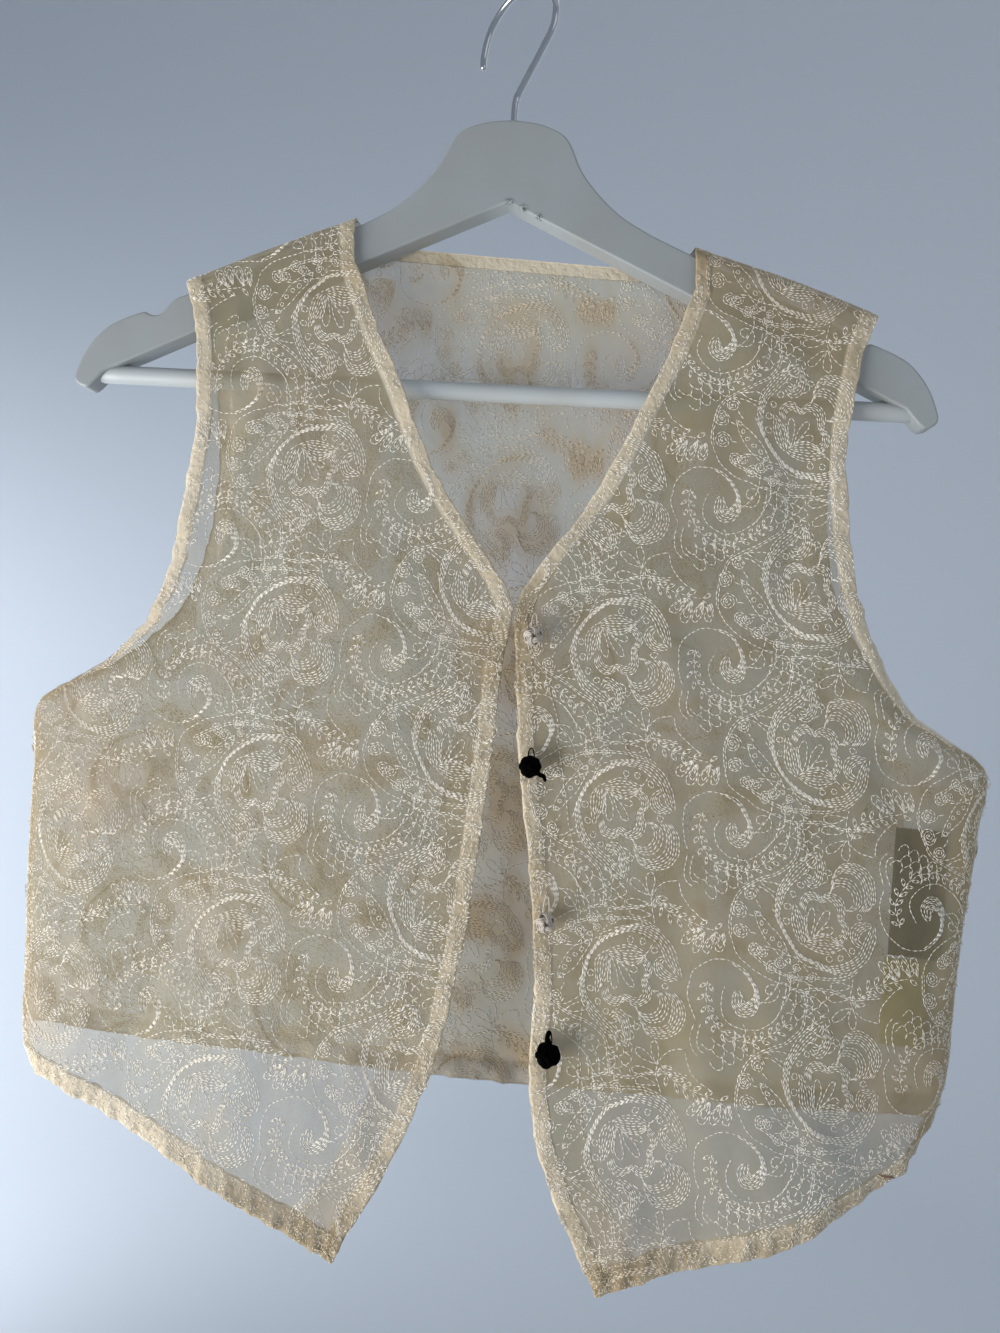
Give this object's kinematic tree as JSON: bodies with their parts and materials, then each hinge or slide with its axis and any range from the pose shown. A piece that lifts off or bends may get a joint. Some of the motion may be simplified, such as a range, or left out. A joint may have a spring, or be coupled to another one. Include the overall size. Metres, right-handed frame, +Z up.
{
  "type": "embroidered waistcoat on a hanger",
  "caption": "Sheer embroidered V-neck waistcoat with pointed fronts and knot buttons, hanging open on a flat shaped clothes hanger with a trouser bar.",
  "frame": {"origin": "where the hook bears on its rail: the underside of the top of its bend", "axes": "+Z up, +X to the viewer's right of the front (the wearer's left), the fronts face -Y"},
  "size_m": [0.4753, 0.068, 0.6258],
  "materials": {
    "silk": "sheer ecru silk with cream chain-stitch embroidery, aged",
    "silk_band": "same silk doubled as facings, creamier and more opaque, tea-coloured stains",
    "painted_wood": "flat wood painted off-white, satin",
    "wire": "bright plated steel wire",
    "cream_cord": "knotted cream silk cord",
    "black_cord": "knotted black cord",
    "black_label": "blank black woven tape",
    "olive_label": "blank olive-yellow tape"
  },
  "bodies": {
    "root": {"hanger_wood": "painted_wood", "hanger_bar": "painted_wood", "hanger_hook": "wire", "back": "silk", "right_front": "silk", "left_front": "silk", "back_neck_facing": "silk_band", "right_edge_facing": "silk_band", "left_edge_facing": "silk_band", "right_armhole_facing_front": "silk_band", "right_armhole_facing_back": "silk_band", "left_armhole_facing_front": "silk_band", "left_armhole_facing_back": "silk_band", "right_hem_facing": "silk_band", "left_hem_facing": "silk_band", "back_hem_facing": "silk_band", "button_1": "cream_cord", "button_3": "cream_cord", "button_2": "black_cord", "button_4": "black_cord", "label_upper": "black_label", "label_lower": "olive_label"}
  },
  "joints": []
}
